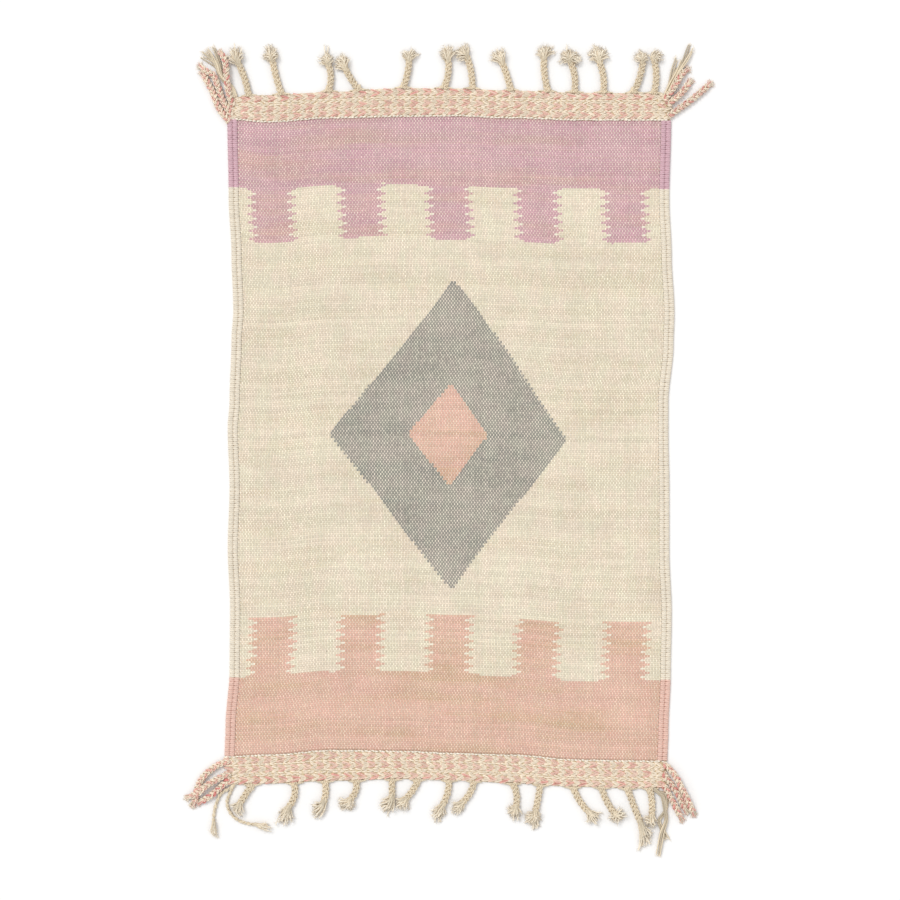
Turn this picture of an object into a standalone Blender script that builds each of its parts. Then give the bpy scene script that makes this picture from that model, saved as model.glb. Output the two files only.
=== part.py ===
"""A flat-woven wool kilim with twined end bands and a plaited warp fringe, lying flat.

Metres, +Z up. The origin is at the middle of the cloth's underside. +X runs across the
kilim, along its wefts, and +Y along its warps, towards the top end.
"""

import math
from collections import namedtuple

import bmesh
import bpy
from mathutils import Vector

# Cloth
HALF_WIDTH = 0.478
SEAM_ALONG = 0.690
FIELD_THICK = 0.0040
FIELD_ROWS = 20
MIDDLE_COLUMNS = 20
SELVEDGE_RIBS = 2
SELVEDGE_RIB_WIDTH = 0.0105
SELVEDGE_CROWN = 0.0062
SELVEDGE_FOOT = 0.0034
RIB_STEPS = 4
PIECE_GAP = 0.0003

# Twined bands
BAND_DEPTH = 0.060
BAND_FOOT = 0.0042
TWINED_CROWN = 0.0070
BRAID_LINE_CROWN = 0.0056

# Plaited tassels
PLAIT_WIDTH = 0.0165
PLAIT_HEIGHT = 0.0115
PLAIT_PITCH = 0.0130
PLAIT_SWELL = 0.08
ROOT_OVERLAP = 0.008

# The frayed locks of a tassel's tuft
TUFT_LOCKS = 6
TUFT_ROOT = 0.005
SHORT_LOCK = 0.84
LOCK_WIDTHS = (0.0070, 0.0090, 0.0078, 0.0034)
LOCK_HEIGHTS = (0.0100, 0.0092, 0.0070, 0.0034)

# Corner braids, cords and loose locks
CORNER_OVERLAP = 0.004
BRAID_WIDTH = 0.0150
BRAID_HEIGHT = 0.0105
CORD_WIDTH = 0.0072
CORD_HEIGHT = 0.0062
CORD_PITCH = 0.0240
LOOSE_WIDTH = 0.0076
LOOSE_HEIGHT = 0.0060
LOOSE_STEP = 0.0120
LOOSE_TIP = 0.45
LOOSE_FAN = (-8.0, 8.0)

# The share of a strand's foot width that its flat top keeps, with four sides.
TOP_SHARE = 0.55

# Edges that turn less than this are shaded smooth.
SMOOTH_BELOW = math.radians(50)

# How far the selvedges stand from the middle line, at places along the warp.
Side = namedtuple("Side", "along left right")
SIDES = [
    Side(-0.755, 0.478, 0.472),
    Side(-0.690, 0.484, 0.471),
    Side(-0.630, 0.482, 0.473),
    Side(-0.500, 0.473, 0.478),
    Side(-0.370, 0.472, 0.480),
    Side(-0.240, 0.477, 0.475),
    Side(-0.110, 0.473, 0.475),
    Side(0.020, 0.477, 0.473),
    Side(0.080, 0.473, 0.473),
    Side(0.210, 0.469, 0.484),
    Side(0.275, 0.465, 0.486),
    Side(0.400, 0.469, 0.480),
    Side(0.520, 0.475, 0.475),
    Side(0.690, 0.478, 0.479),
    Side(0.760, 0.476, 0.476),
]

# How far a band's two edges stand from the middle of the kilim, at places across it.
Edge = namedtuple("Edge", "across inner outer")
TOP_EDGES = [
    Edge(-0.490, 0.688, 0.734),
    Edge(-0.390, 0.680, 0.740),
    Edge(-0.250, 0.689, 0.747),
    Edge(-0.100, 0.692, 0.755),
    Edge(0.020, 0.693, 0.754),
    Edge(0.130, 0.689, 0.750),
    Edge(0.280, 0.684, 0.745),
    Edge(0.400, 0.684, 0.744),
    Edge(0.490, 0.684, 0.742),
]
BOTTOM_EDGES = [
    Edge(-0.490, 0.688, 0.751),
    Edge(-0.390, 0.684, 0.748),
    Edge(-0.250, 0.674, 0.742),
    Edge(-0.100, 0.676, 0.738),
    Edge(0.020, 0.681, 0.741),
    Edge(0.130, 0.684, 0.747),
    Edge(0.280, 0.695, 0.755),
    Edge(0.400, 0.697, 0.758),
    Edge(0.490, 0.698, 0.757),
]

# The ribs of a band, as shares of its depth from the field outwards.
Rib = namedtuple("Rib", "start end crown steps")
BAND_RIBS = [
    Rib(0.00, 0.06, BRAID_LINE_CROWN, 2),
    Rib(0.06, 0.34, TWINED_CROWN, 4),
    Rib(0.34, 0.40, BRAID_LINE_CROWN, 2),
    Rib(0.40, 0.66, TWINED_CROWN, 4),
    Rib(0.66, 0.72, BRAID_LINE_CROWN, 2),
    Rib(0.72, 1.00, TWINED_CROWN, 4),
]

# A plaited tassel: where its root stands across the kilim, how far its middle and its
# neck lie to the side of the root, and how far its neck is from the band. Its tuft turns
# by some degrees towards +X from straight out, has a length, and fans to either side.
Tassel = namedtuple("Tassel", "across middle neck reach turn tuft fan")
TOP_TASSELS = [
    Tassel(-0.432, -0.008, -0.021, 0.066, -15, 0.048, 34),
    Tassel(-0.361, -0.012, -0.020, 0.074, -42, 0.027, 56),
    Tassel(-0.261, 0.006, 0.000, 0.059, -38, 0.034, 46),
    Tassel(-0.194, -0.017, -0.030, 0.047, -18, 0.038, 20),
    Tassel(-0.099, 0.009, 0.013, 0.058, 8, 0.031, 44),
    Tassel(-0.011, 0.009, 0.009, 0.060, -10, 0.033, 30),
    Tassel(0.050, -0.002, -0.011, 0.067, -30, 0.029, 40),
    Tassel(0.134, -0.009, -0.019, 0.059, -38, 0.028, 48),
    Tassel(0.214, -0.008, -0.009, 0.072, 10, 0.026, 54),
    Tassel(0.270, 0.001, -0.009, 0.068, -22, 0.027, 68),
    Tassel(0.333, 0.000, -0.009, 0.067, -10, 0.035, 54),
    Tassel(0.397, 0.015, 0.021, 0.069, -38, 0.020, 58),
    Tassel(0.442, 0.005, 0.000, 0.073, 38, 0.021, 50),
]
BOTTOM_TASSELS = [
    Tassel(-0.425, -0.009, -0.019, 0.041, -4, 0.022, 36),
    Tassel(-0.335, 0.002, -0.010, 0.050, -20, 0.044, 24),
    Tassel(-0.268, 0.002, -0.002, 0.043, -34, 0.035, 34),
    Tassel(-0.201, 0.000, -0.013, 0.041, -28, 0.022, 48),
    Tassel(-0.123, 0.000, 0.000, 0.036, -32, 0.040, 22),
    Tassel(-0.067, -0.010, -0.028, 0.042, -16, 0.023, 32),
    Tassel(0.000, -0.003, -0.013, 0.051, -22, 0.039, 18),
    Tassel(0.054, -0.008, -0.026, 0.046, -38, 0.028, 28),
    Tassel(0.138, 0.008, 0.006, 0.050, -20, 0.024, 36),
    Tassel(0.197, -0.005, -0.011, 0.058, -15, 0.036, 28),
    Tassel(0.268, 0.011, 0.026, 0.046, 48, 0.032, 42),
    Tassel(0.329, 0.011, 0.029, 0.056, 30, 0.020, 64),
    Tassel(0.385, 0.013, 0.027, 0.070, 10, 0.067, 13),
    Tassel(0.432, 0.006, 0.005, 0.060, 0, 0.022, 22),
]

# A strand at a corner: which side it is on, how far its root is from the band's outer
# edge, down the band's end, or in from that end where it is rooted on the outer edge, its
# length, and its heading at root, middle and tip. A heading of 0 degrees points out
# sideways and 90 degrees away from the cloth along the warp.
Corner = namedtuple("Corner", "kind side down inwards length root middle tip")
TOP_CORNERS = [
    Corner("braid", -1, 0.034, 0.000, 0.106, 44, 56, 64),
    Corner("braid", -1, 0.015, 0.000, 0.100, 54, 66, 60),
    Corner("loose", -1, 0.000, 0.004, 0.112, 58, 74, 60),
    Corner("braid", -1, 0.000, 0.016, 0.102, 66, 86, 50),
    Corner("loose", 1, 0.000, 0.019, 0.086, 68, 68, 68),
    Corner("loose", 1, 0.000, 0.006, 0.112, 62, 64, 66),
    Corner("braid", 1, 0.008, 0.000, 0.078, 52, 54, 42),
    Corner("braid", 1, 0.023, 0.000, 0.062, 40, 44, 50),
    Corner("braid", 1, 0.042, 0.000, 0.110, 34, 38, 42),
]
BOTTOM_CORNERS = [
    Corner("braid", -1, 0.048, 0.000, 0.112, 26, 40, 54),
    Corner("braid", -1, 0.028, 0.000, 0.094, 34, 46, 60),
    Corner("braid", -1, 0.008, 0.000, 0.078, 48, 46, 50),
    Corner("cord", -1, 0.000, 0.005, 0.114, 48, 76, 92),
    Corner("cord", -1, 0.000, 0.012, 0.168, 54, 132, 184),
    Corner("loose", 1, 0.000, 0.018, 0.152, 56, 98, 88),
    Corner("braid", 1, 0.005, 0.000, 0.080, 62, 64, 62),
    Corner("braid", 1, 0.024, 0.000, 0.104, 44, 58, 64),
    Corner("braid", 1, 0.043, 0.000, 0.106, 26, 50, 64),
]

CREAM = (0.80, 0.72, 0.56, 1.0)
BLUSH = (0.78, 0.52, 0.46, 1.0)
UNDYED = (0.64, 0.52, 0.37, 1.0)


def clear_scene():
    for obj in list(bpy.data.objects):
        bpy.data.objects.remove(obj, do_unlink=True)


def wool(name, colour):
    material = bpy.data.materials.new(name)
    material.use_nodes = True
    shader = material.node_tree.nodes["Principled BSDF"]
    shader.inputs["Base Color"].default_value = colour
    shader.inputs["Roughness"].default_value = 0.95
    shader.inputs["Metallic"].default_value = 0.0
    return material


def add_object(name, bm, material):
    bmesh.ops.recalc_face_normals(bm, faces=bm.faces)
    mesh = bpy.data.meshes.new(name)
    bm.to_mesh(mesh)
    bm.free()
    mesh.shade_smooth()
    mesh.set_sharp_from_angle(angle=SMOOTH_BELOW)
    mesh.materials.append(material)
    obj = bpy.data.objects.new(name, mesh)
    bpy.context.scene.collection.objects.link(obj)
    return obj


def eased(rows, at, column):
    """The column's value at a place between the rows of a table, with no corners."""
    keys = [row[0] for row in rows]
    at = min(max(at, keys[0]), keys[-1])
    i = max(k for k in range(len(rows) - 1) if keys[k] <= at)
    share = (at - keys[i]) / (keys[i + 1] - keys[i])
    smooth = share * share * (3 - 2 * share)
    low, high = getattr(rows[i], column), getattr(rows[i + 1], column)
    return low + (high - low) * smooth


def selvedge_profile():
    """(inset from the side, height) over the selvedge's ribs, from the side inwards."""
    points = []
    for rib in range(SELVEDGE_RIBS):
        for step in range(RIB_STEPS):
            inset = SELVEDGE_RIB_WIDTH * (rib + step / RIB_STEPS)
            rise = math.sin(math.pi * step / RIB_STEPS)
            height = SELVEDGE_FOOT + (SELVEDGE_CROWN - SELVEDGE_FOOT) * rise
            points.append((inset, height))
    points.append((SELVEDGE_RIB_WIDTH * SELVEDGE_RIBS, FIELD_THICK))
    return points


def band_profile():
    """(share of the band's depth, height) over its ribs, from the field outwards."""
    points = []
    for rib in BAND_RIBS:
        for step in range(rib.steps):
            share = rib.start + (rib.end - rib.start) * step / rib.steps
            rise = math.sin(math.pi * step / rib.steps)
            points.append((share, BAND_FOOT + (rib.crown - BAND_FOOT) * rise))
    points.append((BAND_RIBS[-1].end, BAND_FOOT))
    return points


def slab(bm, grid):
    """A closed solid under a grid of points, with one flat face at height zero."""
    top = [[bm.verts.new(point) for point in row] for row in grid]
    for low, high in zip(top, top[1:]):
        for a, b, c, d in zip(low, low[1:], high[1:], high):
            bm.faces.new((a, b, c, d))
    rim = top[0] + [row[-1] for row in top[1:-1]]
    rim += top[-1][::-1] + [row[0] for row in top[-2:0:-1]]
    foot = [bm.verts.new((v.co.x, v.co.y, 0.0)) for v in rim]
    for i, vert in enumerate(rim):
        j = (i + 1) % len(rim)
        bm.faces.new((vert, foot[i], foot[j], rim[j]))
    bm.faces.new(foot[::-1])


def columns_across(along):
    """The places across the kilim that the field and its bands share at a place along it."""
    insets = [place for place, _ in selvedge_profile()]
    left, right = -eased(SIDES, along, "left"), eased(SIDES, along, "right")
    low, high = left + insets[-1], right - insets[-1]
    middle = [low + (high - low) * i / MIDDLE_COLUMNS for i in range(1, MIDDLE_COLUMNS)]
    return [left + i for i in insets] + middle + [right - i for i in reversed(insets)]


def woven_field():
    rib_heights = [height for _, height in selvedge_profile()]
    heights = rib_heights + [FIELD_THICK] * (MIDDLE_COLUMNS - 1) + rib_heights[::-1]
    grid = []
    for row in range(FIELD_ROWS + 1):
        share = row / FIELD_ROWS
        points = []
        for x, height in zip(columns_across(SEAM_ALONG * (2 * share - 1)), heights):
            low = -eased(BOTTOM_EDGES, x, "inner") + PIECE_GAP
            high = eased(TOP_EDGES, x, "inner") - PIECE_GAP
            points.append((x, low + (high - low) * share, height))
        grid.append(points)
    bm = bmesh.new()
    slab(bm, grid)
    add_object("woven_field", bm, wool("cream_wool", CREAM))


def twined_band(bm, edges, end):
    """The ribbed strip across one end. end is 1 at the top and -1 at the bottom."""
    grid = []
    for share, height in band_profile():
        row = []
        for x in columns_across(end * (SEAM_ALONG + BAND_DEPTH * share)):
            inner, outer = eased(edges, x, "inner"), eased(edges, x, "outer")
            row.append((x, end * (inner + (outer - inner) * share), height))
        grid.append(row)
    slab(bm, grid)


def strand(bm, path, sizes, sides):
    """A closed strand that lies on the floor. sizes holds (width, height) at each point."""
    sections = []
    for i, point in enumerate(path):
        before, after = path[max(i - 1, 0)], path[min(i + 1, len(path) - 1)]
        along = (after - before).normalized()
        side = Vector((-along.y, along.x))
        width, height = sizes[i]
        top = TOP_SHARE if sides == 4 else 0.0
        corners = [(-0.5, 0.0), (0.5, 0.0), (0.5 * top, 1.0), (-0.5 * top, 1.0)][:sides]
        ring = []
        for across, up in corners:
            place = point + side * across * width
            ring.append(bm.verts.new((place.x, place.y, up * height)))
        sections.append(ring)
    for low, high in zip(sections, sections[1:]):
        for k in range(sides):
            n = (k + 1) % sides
            bm.faces.new((low[k], low[n], high[n], high[k]))
    bm.faces.new(sections[0][::-1])
    bm.faces.new(sections[-1])


def curve_through(a, b, c, share):
    """A point on the smooth curve through a, b and c, with b halfway."""
    control = 2 * b - (a + c) / 2
    return a * (1 - share) ** 2 + control * 2 * share * (1 - share) + c * share**2


def plait(width, height, length, pitch):
    """(width, height) along a plait, with a swelling at each turn of its strands."""
    count = max(4, 2 * round(length / pitch))
    sizes = []
    for i in range(count + 1):
        swell = 1 + PLAIT_SWELL * (1 if i % 2 else -1)
        sizes.append((width * swell, height * swell))
    return sizes


def tassel(bm, row, edges, end):
    edge = eased(edges, row.across, "outer")
    root = Vector((row.across, end * (edge - ROOT_OVERLAP)))
    middle = Vector((row.across + row.middle, end * (edge + row.reach / 2)))
    neck = Vector((row.across + row.neck, end * (edge + row.reach)))
    sizes = plait(PLAIT_WIDTH, PLAIT_HEIGHT, row.reach, PLAIT_PITCH)
    steps = len(sizes) - 1
    path = [curve_through(root, middle, neck, i / steps) for i in range(steps + 1)]
    strand(bm, path, sizes, 4)
    tuft(bm, row, neck, end)


def tuft(bm, row, neck, end):
    """Frayed locks that fan out of a tassel's neck."""
    sizes = list(zip(LOCK_WIDTHS, LOCK_HEIGHTS))
    for i in range(TUFT_LOCKS):
        place = 2 * i / (TUFT_LOCKS - 1) - 1
        turn = math.radians(row.turn + row.fan * place)
        away = Vector((math.sin(turn), end * math.cos(turn)))
        reach = row.tuft * (1.0 if i % 2 else SHORT_LOCK)
        start = neck - Vector((0.0, end * TUFT_ROOT))
        goal = neck + away * reach
        path = [start + (goal - start) * k / (len(sizes) - 1) for k in range(len(sizes))]
        strand(bm, path, sizes, 3)


def corner_path(row, edges, end, steps, fan):
    """Points along a strand at a corner. fan turns its heading, more and more, by degrees."""
    outer = eased(edges, row.side * HALF_WIDTH, "outer")
    column = "left" if row.side < 0 else "right"
    width = eased(SIDES, end * (outer - row.down), column)
    point = Vector((row.side * (width - row.inwards), end * (outer - row.down)))
    step = (row.length + CORNER_OVERLAP) / steps
    path = []
    for i in range(steps + 1):
        share = i / steps
        if share < 0.5:
            heading = row.root + (row.middle - row.root) * 2 * share
        else:
            heading = row.middle + (row.tip - row.middle) * (2 * share - 1)
        turn = math.radians(heading + fan * share)
        away = Vector((row.side * math.cos(turn), end * math.sin(turn)))
        point = point + away * (step if i else -CORNER_OVERLAP)
        path.append(point.copy())
    return path


def corner_strand(bm, row, edges, end):
    if row.kind == "loose":
        steps = round(row.length / LOOSE_STEP)
        tapers = [1 - (1 - LOOSE_TIP) * (i / steps) ** 2 for i in range(steps + 1)]
        sizes = [(LOOSE_WIDTH * t, LOOSE_HEIGHT * t) for t in tapers]
        for fan in LOOSE_FAN:
            strand(bm, corner_path(row, edges, end, steps, fan), sizes, 3)
        return
    if row.kind == "cord":
        sizes = plait(CORD_WIDTH, CORD_HEIGHT, row.length, CORD_PITCH)
    else:
        sizes = plait(BRAID_WIDTH, BRAID_HEIGHT, row.length, PLAIT_PITCH)
    strand(bm, corner_path(row, edges, end, len(sizes) - 1, 0.0), sizes, 4)


def twined_end(name, edges, tassels, corners, end):
    """One end of the kilim: its band, with the fringe's roots fused into it."""
    bm = bmesh.new()
    twined_band(bm, edges, end)
    band = add_object(name, bm, wool(name + "_wool", BLUSH))

    bm = bmesh.new()
    for row in tassels:
        tassel(bm, row, edges, end)
    for row in corners:
        corner_strand(bm, row, edges, end)
    fringe = add_object(name + "_strands", bm, wool(name + "_warp", UNDYED))
    fringe.hide_render = True
    fringe.display_type = "WIRE"

    union = band.modifiers.new("fuse_fringe", "BOOLEAN")
    union.operation = "UNION"
    union.object = fringe
    union.use_self = True
    union.material_mode = "TRANSFER"


def build():
    clear_scene()
    woven_field()
    twined_end("twined_end_top", TOP_EDGES, TOP_TASSELS, TOP_CORNERS, 1)
    twined_end("twined_end_bottom", BOTTOM_EDGES, BOTTOM_TASSELS, BOTTOM_CORNERS, -1)


build()
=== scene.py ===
"""A flat-woven wool kilim with twined end bands and a plaited warp fringe, lying on a floor.

Metres, +Z up. The origin is at the middle of the cloth's underside. +X runs across the
kilim, along its wefts, and +Y along its warps, towards the top end.
"""

import random
from collections import namedtuple
from math import atan2, cos, pi, radians, sin, sqrt

import bpy
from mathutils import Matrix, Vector, noise


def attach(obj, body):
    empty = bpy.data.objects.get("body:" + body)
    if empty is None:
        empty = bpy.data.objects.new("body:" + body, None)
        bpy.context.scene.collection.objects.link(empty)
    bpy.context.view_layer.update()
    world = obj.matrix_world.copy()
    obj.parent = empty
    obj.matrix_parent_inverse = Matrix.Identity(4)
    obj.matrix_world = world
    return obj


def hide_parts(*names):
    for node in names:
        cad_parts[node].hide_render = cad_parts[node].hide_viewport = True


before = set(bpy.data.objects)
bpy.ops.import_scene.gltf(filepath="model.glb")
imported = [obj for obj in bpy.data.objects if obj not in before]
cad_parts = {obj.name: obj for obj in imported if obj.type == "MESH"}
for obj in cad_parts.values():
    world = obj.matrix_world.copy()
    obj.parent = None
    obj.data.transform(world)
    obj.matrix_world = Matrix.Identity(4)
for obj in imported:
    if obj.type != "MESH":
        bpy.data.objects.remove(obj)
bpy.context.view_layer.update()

PER_METRE = 1000

# The weave, counted in threads
WARPS = 286
PICKS = 308
SELVEDGE_WARPS = 6

# Cloth sizes, the same as in the part
SEAM_ALONG = 0.690
BAND_DEPTH = 0.060
PIECE_GAP = 0.0003
CLOTH_TOP = 0.0040
UNDER_SELVEDGE = 0.0018
CHECKER_RELIEF = 0.00030
COCKLE = 0.0006
COCKLE_SIZE = 0.085

# Selvedge ribs: two on each side, each wrapped once for every pick
RIB_WIDTH = 0.0105
RIBS = 2
WRAP_THICK = 0.0029
WRAP_CROWN = 0.0045
WRAP_FOOT = 0.0012
WRAP_STEPS = 6

# The strip under the twining
GROUND_COLUMNS = 96
GROUND_ROWS = 14
GROUND_EDGE = 0.0012
GROUND_BULGE = 0.0034

# Twined stitches, as half lengths and yarn radii
STITCH_PITCH = 0.01405
STITCH_REACH = 0.0098
STITCH_YARN = 0.00105
STITCH_YARNS = 3
STITCH_SPREAD = 0.00225
STITCH_LOW = 0.0026
STITCH_CROWN = 0.0058
STITCH_SLANT = 19
STITCH_STEPS = 6
LINE_PITCH = 0.0078
LINE_REACH = 0.0046
LINE_SPREAD = 0.0018

# Plaits, with the radii of their yarns and of the dark core yarn that fills their gaps as painted shade
PLAIT_YARN = 0.00142
PLAIT_CORE = 0.0030
PLAIT_CORE_DROP = 0.0012
PLAIT_YARNS = 3
PLAIT_STRANDS = 3
PLAIT_TURN = 0.026
PLAIT_SIDE = 0.0046
PLAIT_RISE = 0.0021
PLAIT_MIDDLE = 0.0058
BUNDLE = 0.0021
STRAND_TWIST = 0.045
PATH_STEP = 0.0024
ROOT_SPREAD = 0.020
ROOT_YARNS = 11
ROOT_YARN = 0.0014

# How far into its twist a yarn may start, and the angle from one yarn of a bundle to the next
TWIST_START = 0.01
NEXT_YARN = 2.4

# Frayed tufts: locks of yarn ends, each with loose fibres at its tip
LOCK_YARN = 0.00185
LOCK_YARNS = 7
SHORT_LOCK_YARNS = 5
THIN_LOCK = 3
LOCK_BUNDLE = 0.0060
LOCK_CORE = 0.0030
LOCK_STEPS = 8
LOCK_SHARE = 0.95
SHORT_LOCK_SHARE = 0.40
LOCK_HELD = 0.006
LOCK_PULL = 0.42
LOCK_ARCH = 0.0020
LOCK_HOOK = 0.0030
LOCK_TIP_TONE = 1.10
LOCK_TIP_WHITE = 0.60
LOCK_TIP_HEIGHTS = (0.0030, 0.0095)
NECK_HEIGHT = 0.0058
FIBRE = 0.00036
FIBRES = 5
FIBRE_REACH = (0.003, 0.009)
FIBRE_TAPER = (1, 1, 0.8, 0.4)
FIBRE_TONES = (1.06, 1.16)

# Corner braids, the stray warps in a loose lock, and the cords. A tail is counted in steps.
BRAID_SIZE = 0.98
BRAID_TAIL = 4
BRAID_ENDS = 13
BRAID_END_HALF = 0.0052
BRAID_END_YARN = 0.00125
STRAY_YARN = 0.00195
STRAY_YARNS = 4
STRAY_BUNDLE = 0.0040
CORD_YARN = 0.0015
CORD_TURN = 0.018
PLY_TURN = 0.03
CORD_TAIL = 12
CORD_LOCK_YARNS = 4


def in_metres(kind, *rows):
    """The rows of a table that is written in millimetres."""
    return [kind(*(value / PER_METRE for value in row)) for row in rows]


# How far the selvedges stand from the middle line, at places along the warp, in millimetres.
Side = namedtuple("Side", "along left right")
SIDES = in_metres(
    Side,
    (-755, 478, 472), (-690, 484, 471), (-630, 482, 473), (-500, 473, 478), (-370, 472, 480), (-240, 477, 475),
    (-110, 473, 475), (20, 477, 473), (80, 473, 473), (210, 469, 484), (275, 465, 486), (400, 469, 480),
    (520, 475, 475), (690, 478, 479), (760, 476, 476),
)

# How far a band's two edges stand from the middle of the kilim, at places across it, in
# millimetres.
Edge = namedtuple("Edge", "across inner outer")
TOP_EDGES = in_metres(
    Edge,
    (-490, 688, 734), (-390, 680, 740), (-250, 689, 747), (-100, 692, 755), (20, 693, 754), (130, 689, 750),
    (280, 684, 745), (400, 684, 744), (490, 684, 742),
)
BOTTOM_EDGES = in_metres(
    Edge,
    (-490, 688, 751), (-390, 684, 748), (-250, 674, 742), (-100, 676, 738), (20, 681, 741), (130, 684, 747),
    (280, 695, 755), (400, 697, 758), (490, 698, 757),
)

# Where the rows of twining lie, as shares of a band's depth from the field outwards.
# A chevron row is two lines of slanted stitches, a line is one line of short ones.
Row = namedtuple("Row", "kind middle half pale lean reach")
BAND_ROWS = [
    Row("line", 0.025, 0.00, 0.75, 8, 0.74),
    Row("chevrons", 0.175, 0.053, 0.0, STITCH_SLANT, 1.00),
    Row("line", 0.325, 0.00, 0.0, 12, 1.25),
    Row("chevrons", 0.475, 0.053, 0.0, STITCH_SLANT, 1.00),
    Row("line", 0.624, 0.00, 0.0, 11, 1.65),
    Row("line", 0.694, 0.00, 0.0, -9, 1.65),
    Row("chevrons", 0.850, 0.054, 0.0, STITCH_SLANT, 1.00),
]

# The plaited tassels, in millimetres: where the root stands across the kilim, how far the
# middle and the neck lie to the side of the root, and how far the neck is from the band. The
# locks of the tuft reach from the neck by so much towards +X and outwards, and a third number
# is the yarns in a thin one.
TOP_TASSELS = [
    (-432, -8, -21, 66, [(-27, 15), (-22, 35), (-13, 47), (-4, 37), (12, 29, 4)]),
    (-361, -12, -20, 74, [(-19, 3), (-15, 17), (-8, 32), (2, 29), (9, 10)]),
    (-261, 6, 0, 59, [(-20, 6), (-14, 17), (-4, 40, 2), (1, 20), (8, 12)]),
    (-194, -17, -30, 47, [(-22, 3), (-18, 20), (-9, 29), (4, 22)]),
    (-99, 9, 13, 58, [(-15, 13), (-2, 19), (8, 24, 4), (18, 19)]),
    (-11, 9, 9, 60, [(-19, 11), (-14, 26), (1, 31), (9, 22)]),
    (50, -2, -11, 67, [(-22, -5), (-26, 13), (-18, 26), (-2, 28)]),
    (134, -9, -19, 59, [(-27, 9), (-19, 22), (-8, 29), (2, 22)]),
    (214, -8, -9, 72, [(-15, 14), (-6, 22), (6, 26), (22, 19)]),
    (270, 1, -9, 68, [(-23, -3), (-17, 16), (-4, 34, 4), (6, 18), (24, 13), (23, -2)]),
    (333, 0, -9, 67, [(-24, 12), (-17, 25), (-9, 38, 5), (2, 28), (12, 30), (19, 16)]),
    (397, 15, 21, 69, [(-18, 3), (-12, 16), (2, 19), (8, 9)]),
    (442, 5, 0, 73, [(-3, 13), (9, 18), (19, 8), (14, -4)]),
]
BOTTOM_TASSELS = [
    (-425, -13, -26, 40, [(-19, 10), (-9, 22), (5, 26)]),
    (-335, 2, -10, 50, [(-19, 14), (-23, 44), (-12, 34), (-4, 36), (5, 34)]),
    (-268, 2, -2, 43, [(-24, 9), (-24, 24), (-29, 41, 3), (-15, 35), (-4, 18)]),
    (-201, 0, -13, 41, [(-26, 3), (-20, 18), (-8, 17), (1, 20), (8, 11)]),
    (-123, 0, 0, 36, [(-27, 12), (-24, 26), (-15, 40), (-6, 30)]),
    (-67, -10, -28, 42, [(-23, 4), (-18, 20), (-3, 23), (6, 20)]),
    (0, -3, -13, 51, [(-23, 15), (-20, 28), (-14, 38), (1, 24, 5)]),
    (54, -8, -26, 46, [(-25, 7), (-20, 19), (-13, 26), (-2, 18)]),
    (138, 8, 6, 50, [(-19, 4), (-12, 19), (0, 29), (10, 19)]),
    (197, -5, -11, 58, [(-19, 9), (-18, 26), (-1, 37), (9, 29), (10, 11)]),
    (268, 12, 32, 52, [(30, 10), (22, 23), (4, 23)]),
    (329, 11, 29, 56, [(16, -10), (25, 1), (16, 10), (-1, 16), (-13, 11)]),
    (385, 13, 27, 70, [(-3, 66, 3), (9, 55), (26, 50), (28, 26, 5)]),
    (432, 6, 5, 60, [(-16, 8), (-5, 23), (9, 16)]),
]

# A strand at a corner of the fringe: its kind, how high its middle is lifted where it crosses
# another, and the places that it runs through from its root to its tip, all in millimetres.
# rosy is the least share of deep pink in a braid's pink yarns.
Strand = namedtuple("Strand", "kind lift places rosy", defaults=(0.3,))
TOP_CORNERS = [
    Strand("braid", 0, [(-474, 681), (-481, 690), (-498, 713), (-509, 743), (-520, 765), (-533, 788)]),
    Strand("braid", 1, [(-468, 694), (-476, 706), (-488, 727), (-498, 756), (-508, 781), (-525, 791),
        (-538, 803)]),
    Strand("lock", 0, [(-460, 734), (-471, 757), (-487, 772), (-495.7, 785.6), (-503, 804.6), (-534, 828)]),
    Strand("lock", 1, [(-461, 734), (-473, 758), (-488, 774), (-495, 787), (-503, 807), (-524, 836)]),
    Strand("lock", 2, [(-463, 734), (-474, 759), (-488, 776), (-493.7, 788.6), (-500, 810.6), (-513, 845)]),
    Strand("braid", 6, [(-464, 716), (-471.5, 729), (-478.3, 766), (-480.3, 795), (-484.5, 817.5),
        (-495.7, 832)]),
    Strand("lock", 0, [(462, 730), (468, 744), (484, 783), (499.6, 822)]),
    Strand("lock", 2, [(470, 738), (476, 752), (502, 801.4), (520.6, 846)]),
    Strand("braid", 2, [(464, 727), (471, 736), (486.4, 757), (502, 783), (516, 796)]),
    Strand("braid", 1, [(472, 716), (481, 725), (502, 743.7), (522, 770)]),
    Strand("braid", 0, [(473, 693), (481, 699), (515.4, 722.7), (541.5, 743.7), (565, 765)]),
]
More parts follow.
